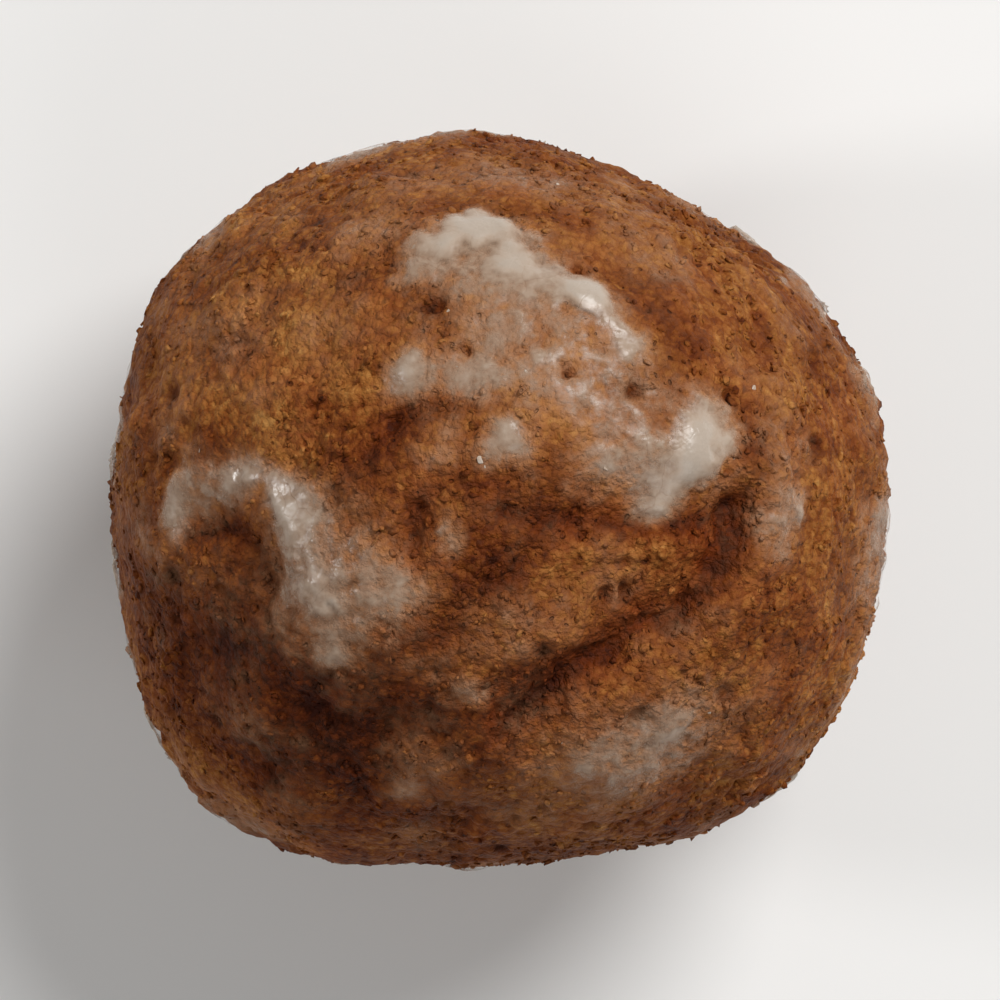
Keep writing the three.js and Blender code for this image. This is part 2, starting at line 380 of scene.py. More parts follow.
def seamFields(directions):  # how deep in a seam, how far the dough steps up or down, and how red it is, with painted shadow on the lower lip
    points = directions * ballRadius
    points = points + crustSeams["wander"] * shiftAt(points, crustSeams["wanderSize"], 4.0)
    closing, blush = np.zeros(len(directions)), np.zeros(len(directions))
    step, nearest = np.zeros(len(directions)), np.full(len(directions), np.inf)
    even, lean = crustSeams["red"]
    for line in crustSeams["lines"]:
        ends = [seenFromAbove(x, y, line.get("under", False)) * ballRadius for x, y in line["points"]]
        for a, b in zip(ends, ends[1:]):
            run = b - a
            t = np.clip((points - a) @ run / (run @ run), 0, 1)
            away = points - (a + t[:, None] * run)
            gap = np.linalg.norm(away, axis=1)
            left = np.cross(a + b, run)
            side = np.tanh(away @ left / np.linalg.norm(left) / crustSeams["lipWidth"])
            closer = gap < nearest
            reach = crustSeams["lipReach"]
            # One side rises by half of the step and the other sinks by half of it
            step = np.where(closer, 0.5 * line["step"] * mm * side * np.exp(-gap / reach), step)
            nearest = np.minimum(nearest, gap)
            closing = np.maximum(closing, line["depth"] * np.exp(-((gap / crustSeams["halfWidth"]) ** 2)))
            # the dough's red-brown beside the seam, plus painted shadow on the lower side of the step
            red = line["depth"] * (even - lean * side) * np.exp(-((gap / crustSeams["blushReach"]) ** 2))
            blush = np.maximum(blush, red)
    return closing, step, blush


# Small open pits that show from above, as x, y, half width and depth in mm
crustPits = {
    "places": [
        (5.6, -5.0, 0.34, 0.45), (7.4, -5.5, 0.30, 0.40), (6.5, -4.6, 0.22, 0.25), (11.1, 5.1, 0.42, 0.50),
        (3.4, 6.1, 0.40, 0.40), (3.8, 11.4, 0.42, 0.40), (-3.1, 9.6, 0.60, 0.45), (-1.7, 7.4, 0.36, 0.35),
        (6.4, 5.2, 0.36, 0.35), (4.4, -1.9, 0.28, 0.35), (-5.4, 4.0, 0.50, 0.40), (12.9, -6.0, 0.30, 0.30),
        (-4.1, -0.2, 0.36, 0.40), (9.6, -8.9, 0.30, 0.30),
    ],
    "wander": 0.42 * mm,
    "wanderSize": 0.7 * mm,
    "wall": 3,  # the higher, the steeper a pit's wall and the flatter its bottom
    "filmLoss": 1.6,  # the share of the glaze that is missing for each mm of depth
    "mostLoss": 0.8,
    "pitShade": 0.6,  # how much darker the crust is painted for each mm of depth, as painted shade in the pit
}


def pitDepth(directions):
    depth = np.zeros(len(directions))
    wander = crustPits["wander"] * shiftAt(directions * ballRadius, crustPits["wanderSize"], 8.0)
    points = directions * ballRadius + wander
    for x, y, half, deep in crustPits["places"]:
        gap = np.linalg.norm(points - seenFromAbove(x, y) * ballRadius, axis=1)
        depth = np.maximum(depth, deep * mm * np.exp(-((gap / (half * mm)) ** crustPits["wall"])))
    return depth


def crustFields(directions):  # what is painted on the skin, and how far it leaves the smooth ball
    closing, step, blush = seamFields(directions)
    pits = pitDepth(directions)
    lost = np.clip(crustPits["filmLoss"] * pits / mm, 0, crustPits["mostLoss"])
    film = glazeFilm(directions) * (1 - crustSeams["filmLoss"] * closing) * (1 - lost)
    # each pit adds painted shade to the crust's tone here, darker the deeper it is
    browning = browningAndShadeOf(directions) + crustPits["pitShade"] * pits / mm
    fields = {"film": film, "browning": browning, "seam": closing, "blush": blush}
    return fields, step - crustSeams["cut"] * closing - pits


# Fine relief of the fried crust, made by one node tree that dough and glaze both use

crustRelief = {
    "Swell Size": 3.0 * mm,
    "Swell Depth": 0.7 * mm,
    "Lump Size": 1.1 * mm,
    "Lump Depth": 0.7 * mm,
    "Grain Size": 0.52 * mm,
    "Grain Depth": 0.2 * mm,
    "Crease Size": 1.7 * mm,
    "Crease Depth": 0.16 * mm,
    "Pore Spacing": 2.2 * mm,
    "Pore Depth": 0.32 * mm,
    "Pinhole Spacing": 1.0 * mm,
    "Pinhole Depth": 0.2 * mm,
    "Warp": 1.1 * mm,
}
reliefClouds = {
    "warpSize": 1.7 * mm,
    "roughSize": 5.5 * mm,  # of the places where the crust is rough, and of the smoother ones between
    "roughReach": (0.38, 0.62),  # how much of the noise's range the change from one to the other takes
    "rough": (0.35, 1.0),
    "creaseReach": 0.2,  # how far a crease reaches, as a share of its cell
    # The share of cells without a hole, and how far the widest hole reaches, as a share of its cell
    "holes": (("Pore", 0.6, 0.42), ("Pinhole", 0.5, 0.42)),
    "narrowest": 0.001,  # holes are never quite shut, because their width divides
    "holeFloor": 0.2,  # how much of a hole's width is its flat bottom
    "hollowDepth": 0.2 * mm,  # how deep a hollow counts as one when its shade is painted on the crust
}


def newTree(name, inputs):  # a tree with a geometry in and out, an input for each size, and a material
    tree = bpy.data.node_groups.new(name, "GeometryNodeTree")
    tree.interface.new_socket("Geometry", in_out="INPUT", socket_type="NodeSocketGeometry")
    tree.interface.new_socket("Geometry", in_out="OUTPUT", socket_type="NodeSocketGeometry")
    for label, value in inputs.items():
        kind = "NodeSocketInt" if isinstance(value, int) else "NodeSocketFloat"
        tree.interface.new_socket(label, in_out="INPUT", socket_type=kind)
    tree.interface.new_socket("Material", in_out="INPUT", socket_type="NodeSocketMaterial")
    source = tree.nodes.new("NodeGroupInput").outputs
    tree.nodes.new("NodeGroupOutput")
    return tree, partial(addNode, tree), source


def closeTree(tree, geometry, source):
    whole = addNode(tree, "GeometryNodeRealizeInstances", {}, {0: geometry})
    painted = addNode(tree, "GeometryNodeSetMaterial", {},
                      {"Geometry": whole, "Material": source["Material"]})
    feedNode(tree.nodes["Group Output"], {0: painted})


def runTree(piece, tree, inputs, material):  # runs the tree on a piece and keeps the result as plain mesh
    modifier = piece.modifiers.new(tree.name, "NODES")
    modifier.node_group = tree
    for item in tree.interface.items_tree:
        if item.in_out == "INPUT" and item.name in inputs:
            modifier[item.identifier] = inputs[item.name]
        elif item.in_out == "INPUT" and item.name == "Material":
            modifier[item.identifier] = material
    evaluated = piece.evaluated_get(bpy.context.evaluated_depsgraph_get())
    mesh = bpy.data.meshes.new_from_object(evaluated)
    piece.modifiers.remove(modifier)
    piece.data = mesh
    return piece


def crustReliefTree():
    tree, add, source = newTree("fineCrust", crustRelief)
    place = add("GeometryNodeInputPosition")
    scale = {}
    for label in crustRelief:
        if label.endswith(("Size", "Spacing")):
            scale[label] = add(mathNode, over, {0: 1.0, 1: source[label]})
    wobble = add(noiseNode, {}, {"Vector": place, "Scale": 1 / reliefClouds["warpSize"], "Detail": 2.0},
                 "Color")
    wobble = add(vectorNode, minus, {0: wobble, 1: (0.5, 0.5, 0.5)})
    wobble = add(vectorNode, scaled, {0: wobble, "Scale": source["Warp"]})
    warped = add(vectorNode, plus, {0: place, 1: wobble})

    # Swells and lumps are clouds of noise, grains are rounded cells, and creases run between larger cells
    raised = {}
    for label, detail in (("Swell", 2.0), ("Lump", 4.0)):
        cloud = add(noiseNode, {}, {"Vector": place, "Scale": scale[label + " Size"], "Detail": detail})
        raised[label] = add(mathNode, minus, {0: cloud, 1: 0.5})
    grain = add(cellNode, {"feature": "SMOOTH_F1"}, {"Vector": warped, "Scale": scale["Grain Size"]})
    raised["Grain"] = add(mathNode, minus, {0: 0.45, 1: grain})
    edge = add(cellNode, {"feature": "DISTANCE_TO_EDGE"},
               {"Vector": warped, "Scale": scale["Crease Size"]})
    raised["Crease"] = add(rangeNode, eased, {0: edge, 2: reliefClouds["creaseReach"], 3: -1.0, 4: 0.0})
    patchy = add(noiseNode, {}, {"Vector": place, "Scale": 1 / reliefClouds["roughSize"], "Detail": 1.0})
    low, high = reliefClouds["roughReach"]
    least, most = reliefClouds["rough"]
    rough = add(rangeNode, eased, {0: patchy, 1: low, 2: high, 3: least, 4: most})

    # Some of the cells hold a round hole, each of its own width
    sunk = {}
    for label, without, widest in reliefClouds["holes"]:
        cell = add(cellNode, {}, {"Vector": warped, "Scale": scale[label + " Spacing"]})
        chance = add("FunctionNodeSeparateColor", {}, {0: cell.node.outputs["Color"]})
        reach = add(rangeNode, eased,
                    {0: chance, 1: without, 3: reliefClouds["narrowest"], 4: widest})
        share = add(mathNode, over, {0: cell, 1: reach})
        sunk[label] = add(rangeNode, eased, {0: share, 1: reliefClouds["holeFloor"], 3: 1.0, 4: 0.0})

    rise = add(mathNode, times, {0: raised["Swell"], 1: source["Swell Depth"]})
    for label in ("Lump", "Grain", "Crease"):
        height = add(mathNode, times, {0: raised[label], 1: source[label + " Depth"]})
        rise = add(mathNode, timesPlus, {0: height, 1: rough, 2: rise})
    for label, hole in sunk.items():
        depth = add(mathNode, times, {0: hole, 1: source[label + " Depth"]})
        rise = add(mathNode, minus, {0: rise, 1: depth})
    outward = add(vectorNode, scaled, {0: add("GeometryNodeInputNormal"), "Scale": rise})
    skin = add("GeometryNodeSetPosition", {}, {0: source["Geometry"], "Offset": outward})

    # hollow and pore are read by the crust's material, which paints shade in hollows and holes and
    # highlight on rises
    stored = {
        "hollow": add(mathNode, times, {0: rise, 1: -1 / reliefClouds["hollowDepth"]}),
        "pore": add(mathNode, larger, {0: sunk["Pore"], 1: sunk["Pinhole"]}),
    }
    for label, value in stored.items():
        skin = add("GeometryNodeStoreNamedAttribute", {"data_type": "FLOAT", "domain": "POINT"},
                   {0: skin, "Name": label, "Value": value})
    spot = add("ShaderNodeSeparateXYZ", {}, {0: add("GeometryNodeInputPosition")}).node.outputs
    onTheFloor = add(mathNode, larger, {0: spot["Z"], 1: 0.0})
    resting = add("ShaderNodeCombineXYZ", {}, {0: spot["X"], 1: spot["Y"], 2: onTheFloor})
    closeTree(tree, add("GeometryNodeSetPosition", {}, {0: skin, "Position": resting}), source)
    return tree


def meshPiece(name, points, faces, fields):
    mesh = bpy.data.meshes.new(name)
    mesh.from_pydata(points.tolist(), [], faces.tolist())
    for label, values in fields.items():
        layer = mesh.attributes.new(label, "FLOAT", "POINT")
        layer.data.foreach_set("value", values.astype(np.float32))
    piece = bpy.data.objects.new(name, mesh)
    bpy.context.scene.collection.objects.link(piece)
    return piece


def fieldOf(piece, label):
    values = np.empty(len(piece.data.vertices), np.float32)
    piece.data.attributes[label].data.foreach_get("value", values)
    return values


def pointsOf(piece):
    points = np.empty(len(piece.data.vertices) * 3, np.float32)
    piece.data.vertices.foreach_get("co", points)
    return points.reshape(-1, 3).astype(float)


def finishPiece(piece, smooth=True):
    piece.data.polygons.foreach_set("use_smooth", [smooth] * len(piece.data.polygons))
    piece.data.update()
    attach(piece, "root")
    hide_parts(doughNode)


# Materials. Crust and glaze read the same two clouds of noise, so grains of crust break the thin film.

def newMaterial(name):
    material = bpy.data.materials.new(name)
    material.use_nodes = True
    material.node_tree.nodes.clear()
    add = partial(addNode, material.node_tree)
    surface = add("ShaderNodeBsdfPrincipled")
    add("ShaderNodeOutputMaterial", {}, {"Surface": surface})
    return material, add, surface.node


filmBreakUp = {
    "grainSize": 0.42 * mm,
    "grainShare": 0.36,
    "speckSize": 1.1 * mm,
    "speckShare": 0.66,
    "roughness": 0.65,
    "brokenFrom": 0.4,  # between these films it is broken most
    "brokenTo": 0.6,
    "evenShare": 0.3,  # what is left of the break-up where there is no film, and where it is whole
}


def brokenFilm(add, place):  # how much the film hides at each point, and the two clouds that break it
    film = add(attributeNode, {"attribute_name": "film"}, {}, "Fac")
    even = filmBreakUp["evenShare"]
    grows = add(rangeNode, eased, {0: film, 1: 0.0, 2: filmBreakUp["brokenFrom"], 3: even})
    fades = add(rangeNode, eased, {0: film, 1: 1.0, 2: filmBreakUp["brokenTo"], 3: even})
    reach = add(mathNode, times, {0: grows, 1: fades})
    thick, clouds = film, []
    for label, detail in (("grain", 3.0), ("speck", 2.0)):
        clouds.append(add(noiseNode, {}, {
            "Vector": place,
            "Scale": 1 / filmBreakUp[label + "Size"],
            "Detail": detail,
            "Roughness": filmBreakUp["roughness"],
        }))
        level = add(mathNode, minus, {0: clouds[-1], 1: 0.5})
        share = add(mathNode, times, {0: reach, 1: filmBreakUp[label + "Share"]})
        thick = add(mathNode, timesPlus, {0: level, 1: share, 2: thick})
    return thick, *clouds


# Deep-fried cake dough: frying gave it a dry, sandy, golden to red-brown crust. Its pores, pinpricks,
# seams, hollows and the gaps between its crumbs are painted darker, as painted shade, and its rises
# lighter, as painted highlight.
# It is matt where it is bare, and a little glossy where the thin film of dried glaze sealed it.
friedCrust = {
    "shades": [(0.0, "#bb8648"), (0.25, "#9a622c"), (0.5, "#783f14"), (0.75, "#552306"), (1.0, "#310f01")],
    "redShades": [(0.0, "#ae6636"), (0.3, "#8c481e"), (0.6, "#682b08"), (1.0, "#360f02")],
    # crumb, hollow, pore, pinprick and seam paint shade in low places, and hollow paints highlight on
    # rises; the seam's red share adds painted shadow on a lower lip; grain, speck, blotch and bake are the
    # crust's own tone
    "toneShares": {"grain": 0.55, "speck": 0.6, "blotch": 0.6, "crumb": 0.2, "bake": 0.22, "hollow": 0.12,
                   "pore": 0.18, "seam": 0.30, "pinprick": 0.25, "blush": 0.13},
    "blotchSize": 3.2 * mm,
    "crumbSize": 0.36 * mm,
    "crumbWarp": 0.35 * mm,
    "crumbWarpSize": 0.5 * mm,
    "redSize": 2.6 * mm,
    "redReach": (0.42, 0.68),
    "redShare": 0.5,
    "microSize": 0.14 * mm,  # the finest grain is about 0.05 mm, and is drawn coarser so that it shows
    "spiceSize": 0.9 * mm,
    "pinprickSpacing": 0.7 * mm,
    "pinprickWithout": 0.3,  # the share of places without one
    "pinprickWidths": (0.02, 0.25),  # as shares of the spacing
    "pinprickEdge": (0.4, 1.0),
    "spice": "#4a2410",  # specks of nutmeg and of darker crumb
    "spiceReach": (0.10, 0.22),
    "spiceShare": 0.5,
    "veil": [(0.0, "#a87042"), (0.5, "#b08462"), (1.0, "#b09a88")],  # the film where it soaked in
    "veilShare": 0.9,
    "veilWhole": 0.9,  # the film at which it is whole
    "dry": 0.62,
    "sealed": 0.36,
    "sealReach": (0.15, 0.7),  # the films between which the crust turns from dry to sealed
    "coat": 0.35,
    "coatReach": (0.3, 0.9),
    "bumpDepth": 0.30 * mm,
    "bumpShares": {"micro": 0.25, "crumb": -0.5, "pinprick": -0.6},
}


def friedCrustMaterial():
    material, add, shader = newMaterial("friedCakeCrust")
    place = add("ShaderNodeTexCoord", {}, {}, "Object")
    colours = {"data_type": "RGBA"}
    thick, grain, speck = brokenFilm(add, place)
    sources = {"grain": grain, "speck": speck}
    sources["blotch"] = add(noiseNode, {},
                            {"Vector": place, "Scale": 1 / friedCrust["blotchSize"], "Detail": 2.0})
    shifted = add(noiseNode, {},
                  {"Vector": place, "Scale": 1 / friedCrust["crumbWarpSize"], "Detail": 0.0}, "Color")
    shifted = add(vectorNode, scaled, {0: shifted, "Scale": friedCrust["crumbWarp"]})
    shifted = add(vectorNode, plus, {0: place, 1: shifted})
    # darker towards the gaps between crumbs, where the bump is lower: painted shade
    sources["crumb"] = add(cellNode, {}, {"Vector": shifted, "Scale": 1 / friedCrust["crumbSize"]})
    sources["bake"] = add("ShaderNodeSeparateColor", {}, {0: sources["crumb"].node.outputs["Color"]})
    # tiny pinholes, painted darker as painted shade and sunk by the bump
    prick = add(cellNode, {}, {"Vector": shifted, "Scale": 1 / friedCrust["pinprickSpacing"]})
    chance = add("ShaderNodeSeparateColor", {}, {0: prick.node.outputs["Color"]})
    low, high = friedCrust["pinprickWidths"]
    reach = add(rangeNode, {}, {0: chance, 1: friedCrust["pinprickWithout"], 3: low, 4: high})
    prick = add(mathNode, over, {0: prick, 1: reach})
    low, high = friedCrust["pinprickEdge"]
    sources["pinprick"] = add(rangeNode, eased, {0: prick, 1: low, 2: high, 3: 1.0, 4: 0.0})
    # hollow, pore and seam paint shade in the crust's low places; the seam's red is the dough's own, with
    # painted shadow on a lower lip
    for label in ("hollow", "pore", "seam", "blush"):
        sources[label] = add(attributeNode, {"attribute_name": label}, {}, "Fac")
    shares = friedCrust["toneShares"]
    evenTone = -0.5 * sum(shares[label] for label in ("grain", "speck", "blotch", "crumb", "bake"))
    tone = add(attributeNode, {"attribute_name": "browning"}, {}, "Fac")
    tone = add(mathNode, plus, {0: tone, 1: evenTone})
    for label, source in sources.items():
        tone = add(mathNode, timesPlus, {0: source, 1: shares[label], 2: tone})

    colour = add(rampNode, {"stops": friedCrust["shades"]}, {0: tone})
    red = add(rampNode, {"stops": friedCrust["redShades"]}, {0: tone})
    redPatch = add(noiseNode, {}, {"Vector": place, "Scale": 1 / friedCrust["redSize"], "Detail": 2.0})
    low, high = friedCrust["redReach"]
    redPatch = add(rangeNode, eased, {0: redPatch, 1: low, 2: high, 4: friedCrust["redShare"]})
    redShare = add(mathNode, {**plus, "use_clamp": True}, {0: redPatch, 1: sources["blush"]})
    colour = add("ShaderNodeMix", colours, {0: redShare, 6: colour, 7: red}, 2)
    fleck = add(cellNode, {}, {"Vector": place, "Scale": 1 / friedCrust["spiceSize"]})
    low, high = friedCrust["spiceReach"]
    fleck = add(rangeNode, eased, {0: fleck, 1: low, 2: high, 3: friedCrust["spiceShare"], 4: 0.0})
    spice = linearColour(friedCrust["spice"])
    colour = add("ShaderNodeMix", colours, {0: fleck, 6: colour, 7: spice}, 2)
    veil = add(rampNode, {"stops": friedCrust["veil"]}, {0: thick})
    veilShare = add(rangeNode, eased,
                    {0: thick, 1: 0.0, 2: friedCrust["veilWhole"], 4: friedCrust["veilShare"]})
    colour = add("ShaderNodeMix", colours, {0: veilShare, 6: colour, 7: veil}, 2)

    sources["micro"] = add(noiseNode, {},
                           {"Vector": place, "Scale": 1 / friedCrust["microSize"], "Detail": 1.0})
    height = grain
    for label, share in friedCrust["bumpShares"].items():
        height = add(mathNode, timesPlus, {0: sources[label], 1: share, 2: height})
    drier, glossier = friedCrust["sealReach"]
    low, high = friedCrust["coatReach"]
    feedNode(shader, {
        "Base Color": colour,
        "Roughness": add(rangeNode, eased, {0: thick, 1: drier, 2: glossier, 3: friedCrust["dry"],
                                            4: friedCrust["sealed"]}),
        "Coat Weight": add(rangeNode, eased, {0: thick, 1: low, 2: high, 4: friedCrust["coat"]}),
        "Coat Roughness": 0.25,
        "Coat IOR": 1.49,
        "IOR": 1.44,
        "Specular IOR Level": 0.12,
        "Normal": add("ShaderNodeBump", {},
                      {"Strength": 0.9, "Distance": friedCrust["bumpDepth"], "Height": height}),
    })
    return material


# Sugar glaze, poured on and dried: milky where it is thick, and clear enough to show the crust where it
# thinned out. It set with a satin skin, faint wrinkles, fine crystals and a net of hairline cracks.
sugarGlaze = {
    "shades": [(0.3, "#aa8060"), (0.7, "#ab9079"), (1.0, "#ac9d8e")],
    "wrinkleSize": 0.8 * mm,
    "crystalSize": 0.20 * mm,  # real ones are about 0.03 mm, and are drawn coarser so that they show
    "crackSpacing": 2.4 * mm,
    "crackWidth": 0.016,  # as a share of the spacing
    "crackWarp": 1.2 * mm,
    "crackLoss": 0.05,  # how much thinner the film is along a crack
    "clearTo": 0.40,  # the film up to which it is clear, and from which it hides the crust
    "milkyFrom": 0.95,
    "satin": 0.2,
    "dull": 0.4,
    "bumpDepth": 0.12 * mm,
    "bumpShares": {"crystal": 0.2, "crack": -0.07},
}


def sugarGlazeMaterial():
    material, add, shader = newMaterial("driedSugarGlaze")
    place = add("ShaderNodeTexCoord", {}, {}, "Object")
    thick = brokenFilm(add, place)[0]
    wrinkle = add(noiseNode, {}, {"Vector": place, "Scale": 1 / sugarGlaze["wrinkleSize"], "Detail": 2.0})
    crystal = add(noiseNode, {}, {"Vector": place, "Scale": 1 / sugarGlaze["crystalSize"], "Detail": 1.0})
    shifted = add(noiseNode, {},
                  {"Vector": place, "Scale": 1 / sugarGlaze["crackWarp"], "Detail": 1.0}, "Color")
    shifted = add(vectorNode, scaled, {0: shifted, "Scale": sugarGlaze["crackWarp"]})
    shifted = add(vectorNode, plus, {0: place, 1: shifted})
    crack = add(cellNode, {"feature": "DISTANCE_TO_EDGE"},
                {"Vector": shifted, "Scale": 1 / sugarGlaze["crackSpacing"]})
    crack = add(rangeNode, eased, {0: crack, 2: sugarGlaze["crackWidth"], 3: 1.0, 4: 0.0})
    whole = add(mathNode, timesPlus, {0: crack, 1: -sugarGlaze["crackLoss"], 2: thick})
    shares = sugarGlaze["bumpShares"]
    height = add(mathNode, timesPlus, {0: crystal, 1: shares["crystal"], 2: wrinkle})
    height = add(mathNode, timesPlus, {0: crack, 1: shares["crack"], 2: height})
    feedNode(shader, {
        "Base Color": add(rampNode, {"stops": sugarGlaze["shades"]}, {0: whole}),
        "Alpha": add(rangeNode, eased,
                     {0: whole, 1: sugarGlaze["clearTo"], 2: sugarGlaze["milkyFrom"]}),
        "Roughness": add(rangeNode, eased,
                         {0: wrinkle, 1: 0.3, 2: 0.7, 3: sugarGlaze["satin"], 4: sugarGlaze["dull"]}),
        "IOR": 1.49,
        "Normal": add("ShaderNodeBump", {},
                      {"Strength": 0.5, "Distance": sugarGlaze["bumpDepth"], "Height": height}),
    })
    return material


# The ball of dough

doughSkin = {"cells": 127, "relaxRounds": 45}


def onFloor(points):
    points[:, 2] = np.maximum(points[:, 2], lowCorner.z)
    return points


def makeDough(relief, material):
    directions, squares = cubeSkin(doughSkin["cells"])
    reach = relaxed(cadReach(directions), skinEdges(squares), doughSkin["relaxRounds"])
    fields, rise = crustFields(directions)
    points = onFloor(np.array(ballMiddle) + directions * (reach + rise)[:, None])
    dough = meshPiece("fried_dough_ball", points, squares, fields)
    dough = runTree(dough, relief, crustRelief, material)
    print(f"dough: {len(dough.data.vertices)} points")
    return dough


# The glaze lies on the dough as a closed shell. Its skin sinks into the dough where the film runs out, so
# the crust's grains stick through it and its edge follows them.

glazeShell = {
    "cells": 124,
    "relaxRounds": 43,
    "start": -0.17 * mm,  # the height of its skin over the crust where there is no film, so below it
    "rise": 0.46 * mm,  # how much higher it is where the film is whole
    "sink": 0.5,  # how much of each pore's depth it follows
    "follow": (0.62, 0.36),  # the share of the crust's relief that it follows, and how much less if whole
    "sagSize": 1.8 * mm,
    "sag": 0.05 * mm,
    "inside": 0.35 * mm,  # how far its inner wall lies below the crust
    "floorGap": 0.2 * mm,  # and how far that wall stays from the floor
    "leastFilm": 0.26,
    "smallestIsland": 24,
}


def islandsOf(squares, count):
    label = np.arange(count)
    while True:
        lowest = label[squares].min(axis=1)
        before = label.copy()
        for corner in range(4):
            np.minimum.at(label, squares[:, corner], lowest)
        label = label[label]
        if np.array_equal(before, label):
            return label


def makeGlaze(relief, material):
    directions, squares = cubeSkin(glazeShell["cells"])
    reach = relaxed(cadReach(directions), skinEdges(squares), glazeShell["relaxRounds"])
    fields, rise = crustFields(directions)
    film = fields["film"]
    points = onFloor(np.array(ballMiddle) + directions * (reach + rise)[:, None])
    probe = runTree(meshPiece("probe", points, squares, {}), relief, crustRelief, material)
    crust = np.linalg.norm(pointsOf(probe) - np.array(ballMiddle), axis=1)
    pore = fieldOf(probe, "pore")
    bpy.data.objects.remove(probe)
    thinFollow, smoother = glazeShell["follow"]
    follow = (thinFollow - smoother * film) * (crust - reach - rise)
    lift = glazeShell["start"] + glazeShell["rise"] * film
    lift -= glazeShell["sink"] * crustRelief["Pore Depth"] * pore
    lift += glazeShell["sag"] * noiseAt(directions * ballRadius, glazeShell["sagSize"], 2, 9.0) * film
    outer = reach + rise + follow + lift
    inner = np.minimum(crust, outer) - glazeShell["inside"]

    kept = squares[film[squares].min(axis=1) > glazeShell["leastFilm"]]
    island = islandsOf(kept, len(directions))[kept[:, 0]]
    names, sizes = np.unique(island, return_counts=True)
    kept = kept[np.isin(island, names[sizes >= glazeShell["smallestIsland"]])]
    used, kept = np.unique(kept, return_inverse=True)
    kept = kept.reshape(-1, 4)
    count = len(used)
    pairs = np.concatenate([kept[:, [i, (i + 1) % 4]] for i in range(4)])
    keys = set(map(tuple, pairs.tolist()))
    rim = np.array([(a, b) for a, b in pairs.tolist() if (b, a) not in keys])
    walls = np.stack([rim[:, 1], rim[:, 0], rim[:, 0] + count, rim[:, 1] + count], -1)
    faces = np.concatenate([kept, kept[:, ::-1] + count, walls])
    middle = np.array(ballMiddle)
    outside = onFloor(middle + directions[used] * outer[used, None])
    inside = middle + directions[used] * inner[used, None]
    inside[:, 2] = np.maximum(inside[:, 2], lowCorner.z + glazeShell["floorGap"])
    fields = {"film": np.concatenate([film[used], np.zeros(count)])}
    glaze = meshPiece("sugar_glaze_film", np.concatenate([outside, inside]), faces, fields)
    glaze.data.materials.append(material)
    print(f"glaze: {len(faces)} faces")
    return glaze


# Crumbs of fried dough that stuck to the crust, and chips of dried glaze near its edges

looseCrumbs = {
    "Per Square Metre": 3600000.0,
    "Smallest": 0.08 * mm,
    "Largest": 0.27 * mm,
    "Patch Size": 3.6 * mm,
    "Tone Swing": 0.16,
    "Seed": 5,
}
crumbPlaces = {"filmGrows": (-0.1, 0.0), "filmFades": (0.6, 0.3), "flat": 1.0}
glazeChips = {
    "Per Square Metre": 60000.0,
    "Smallest": 0.06 * mm,
    "Largest": 0.2 * mm,
    "Patch Size": 5.0 * mm,
    "Tone Swing": 0.0,
    "Seed": 12,
}
chipPlaces = {"filmGrows": (0.16, 0.4), "filmFades": (0.95, 0.7), "flat": 0.6}
looseBits = {
    "level": (0.8 * mm, 2.0 * mm),  # the heights where they start, and where they lie as densely as above
    "patchReach": (0.34, 0.60),
    "fewLarge": 2.5,  # the higher, the more of them are small
    "shapes": ((0.6, 0.6, 0.3), (1.6, 1.2, 0.7)),  # least and most length, width and height, times the size
    "lean": 0.5,  # how far they lean either way and how far they turn, in radians
    "turn": 6.28,
    "dent": 0.3 * mm,  # how deep and how wide their dents are
}


